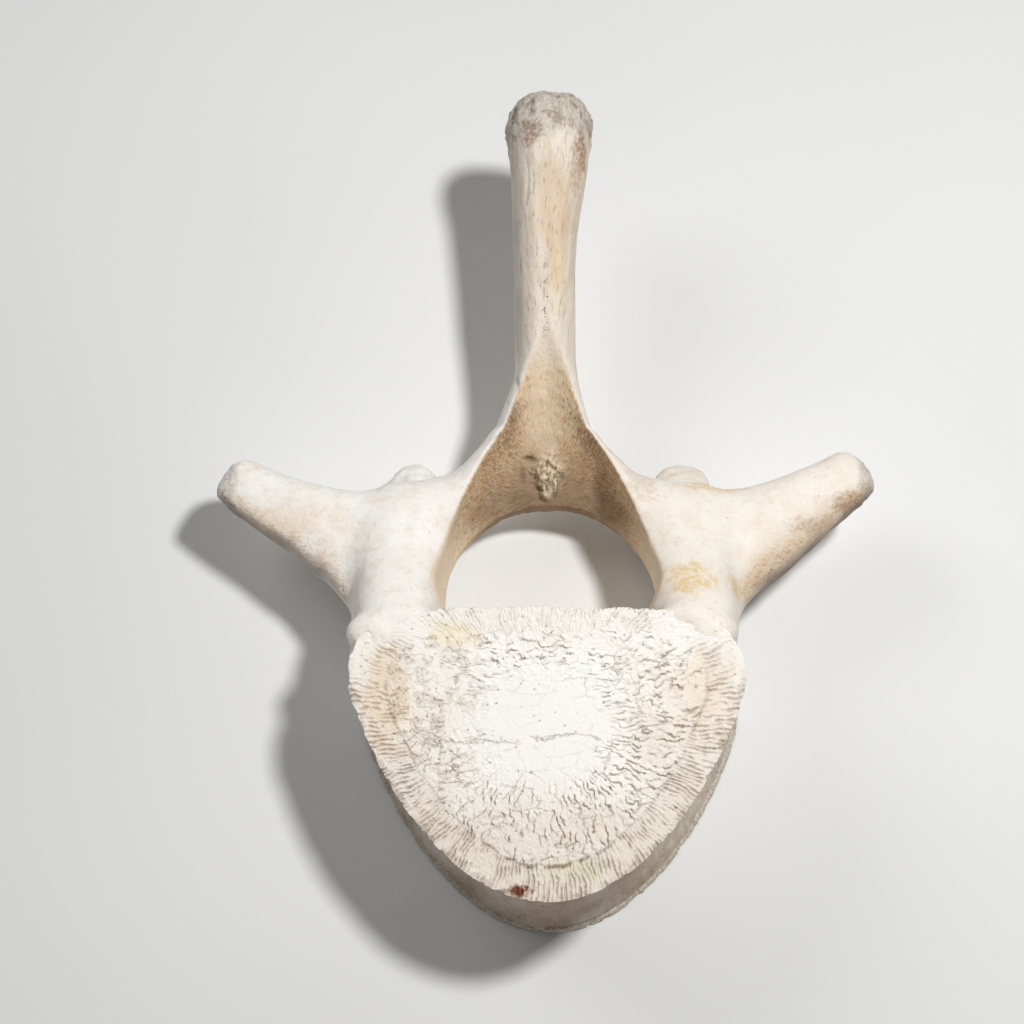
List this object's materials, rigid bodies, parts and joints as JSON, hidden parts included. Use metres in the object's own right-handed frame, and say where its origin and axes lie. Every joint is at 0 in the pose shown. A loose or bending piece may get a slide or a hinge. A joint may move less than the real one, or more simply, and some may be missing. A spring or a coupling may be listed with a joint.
{
  "type": "whale vertebra",
  "caption": "Thoracic vertebra of a large whale: wedge-shaped body with open neural canal, tall neural spine, spread transverse processes and small metapophyses.",
  "frame": {"origin": "middle of the cranial end face of the vertebral body, the flat that the bone lies on", "axes": "+Z caudal, from the cranial end face to the caudal one; +Y dorsal, towards the tip of the neural spine; +X the bone's right"},
  "size_m": [0.5733, 0.7132, 0.1978],
  "materials": {
    "bone": "dry cream bone, smooth and matt, with tan streaks and ochre stains",
    "spongy_bone": "chalky open bone, ridged and cracked, with dark pits"
  },
  "bodies": {
    "root": {"centrum": "spongy_bone", "pedicle_left": "bone", "pedicle_right": "bone", "lamina_left": "bone", "lamina_right": "bone", "neural_spine": "bone", "transverse_process_left": "bone", "transverse_process_right": "bone", "metapophysis_left": "bone", "metapophysis_right": "bone"}
  },
  "joints": []
}
